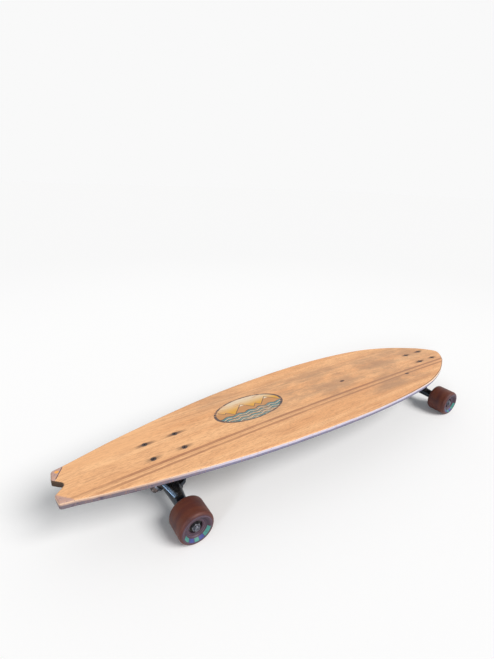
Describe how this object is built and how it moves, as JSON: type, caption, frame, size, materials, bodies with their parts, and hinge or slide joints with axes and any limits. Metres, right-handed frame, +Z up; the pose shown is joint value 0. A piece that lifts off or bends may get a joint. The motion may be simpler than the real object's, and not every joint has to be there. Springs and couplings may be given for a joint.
{
  "type": "longboard skateboard",
  "caption": "Longboard with a fishtail deck, bolted sprung steering trucks, and wide soft wheels that spin on bearings.",
  "frame": {"origin": "on the floor, at the middle of the board's length and width", "axes": "+X to the nose, +Y to the rider's left, +Z up"},
  "size_m": [0.9648, 0.2294, 0.121],
  "materials": {
    "deck_maple": "clear satin coat, worn",
    "riser_rubber": "matt",
    "cast_black": "gloss black paint",
    "bright_steel": "zinc plated",
    "black_steel": "black oxide",
    "bushing_urethane": "satin",
    "cup_nylon": "matt",
    "wheel_urethane": "satin, worn",
    "bearing_steel": "ground"
  },
  "bodies": {
    "board": {"deck": "deck_maple", "front_riser": "riser_rubber", "front_baseplate": "cast_black", "front_pivot_cup": "cup_nylon", "front_kingpin": "black_steel", "front_kingpin_nut": "black_steel", "front_board_bushing": "bushing_urethane", "front_road_bushing": "bushing_urethane", "front_board_washer": "bright_steel", "front_road_washer": "bright_steel", "front_deck_bolt_1": "black_steel", "front_deck_bolt_2": "black_steel", "front_deck_bolt_3": "black_steel", "front_deck_bolt_4": "black_steel", "front_deck_nut_1": "bright_steel", "front_deck_nut_2": "bright_steel", "front_deck_nut_3": "bright_steel", "front_deck_nut_4": "bright_steel", "rear_riser": "riser_rubber", "rear_baseplate": "cast_black", "rear_pivot_cup": "cup_nylon", "rear_kingpin": "black_steel", "rear_kingpin_nut": "black_steel", "rear_board_bushing": "bushing_urethane", "rear_road_bushing": "bushing_urethane", "rear_board_washer": "bright_steel", "rear_road_washer": "bright_steel", "rear_deck_bolt_1": "black_steel", "rear_deck_bolt_2": "black_steel", "rear_deck_bolt_3": "black_steel", "rear_deck_bolt_4": "black_steel", "rear_deck_nut_1": "bright_steel", "rear_deck_nut_2": "bright_steel", "rear_deck_nut_3": "bright_steel", "rear_deck_nut_4": "bright_steel"},
    "front_steered": {"front_hanger": "cast_black", "front_axle": "bright_steel", "front_left_speed_washer": "bright_steel", "front_left_axle_nut": "bright_steel", "front_right_speed_washer": "bright_steel", "front_right_axle_nut": "bright_steel"},
    "rear_steered": {"rear_hanger": "cast_black", "rear_axle": "bright_steel", "rear_left_speed_washer": "bright_steel", "rear_left_axle_nut": "bright_steel", "rear_right_speed_washer": "bright_steel", "rear_right_axle_nut": "bright_steel"},
    "front_left_spinning": {"front_left_wheel": "wheel_urethane", "front_left_inner_bearing": "bearing_steel", "front_left_outer_bearing": "bearing_steel"},
    "front_right_spinning": {"front_right_wheel": "wheel_urethane", "front_right_inner_bearing": "bearing_steel", "front_right_outer_bearing": "bearing_steel"},
    "rear_left_spinning": {"rear_left_wheel": "wheel_urethane", "rear_left_inner_bearing": "bearing_steel", "rear_left_outer_bearing": "bearing_steel"},
    "rear_right_spinning": {"rear_right_wheel": "wheel_urethane", "rear_right_inner_bearing": "bearing_steel", "rear_right_outer_bearing": "bearing_steel"}
  },
  "joints": [
    {"name": "front_steering", "type": "hinge", "parent": "board", "child": "front_steered", "pos_m": [0.39376, 0, 0.03223], "axis": [0.6628, 0, 0.7488], "range_deg": [-20, 20], "stiffness_Nm_per_rad": 40, "deforming": ["front_board_bushing", "front_road_bushing"]},
    {"name": "rear_steering", "type": "hinge", "parent": "board", "child": "rear_steered", "pos_m": [-0.30476, 0, 0.03223], "axis": [-0.6628, 0, 0.7488], "range_deg": [-20, 20], "stiffness_Nm_per_rad": 40, "deforming": ["rear_board_bushing", "rear_road_bushing"]},
    {"name": "front_left_spin", "type": "hinge", "parent": "front_steered", "child": "front_left_spinning", "pos_m": [0.396, 0.088, 0.03024], "axis": [0, 1, 0], "continuous": true},
    {"name": "front_right_spin", "type": "hinge", "parent": "front_steered", "child": "front_right_spinning", "pos_m": [0.396, -0.088, 0.03024], "axis": [0, 1, 0], "continuous": true},
    {"name": "rear_left_spin", "type": "hinge", "parent": "rear_steered", "child": "rear_left_spinning", "pos_m": [-0.307, 0.088, 0.03024], "axis": [0, 1, 0], "continuous": true},
    {"name": "rear_right_spin", "type": "hinge", "parent": "rear_steered", "child": "rear_right_spinning", "pos_m": [-0.307, -0.088, 0.03024], "axis": [0, 1, 0], "continuous": true}
  ]
}
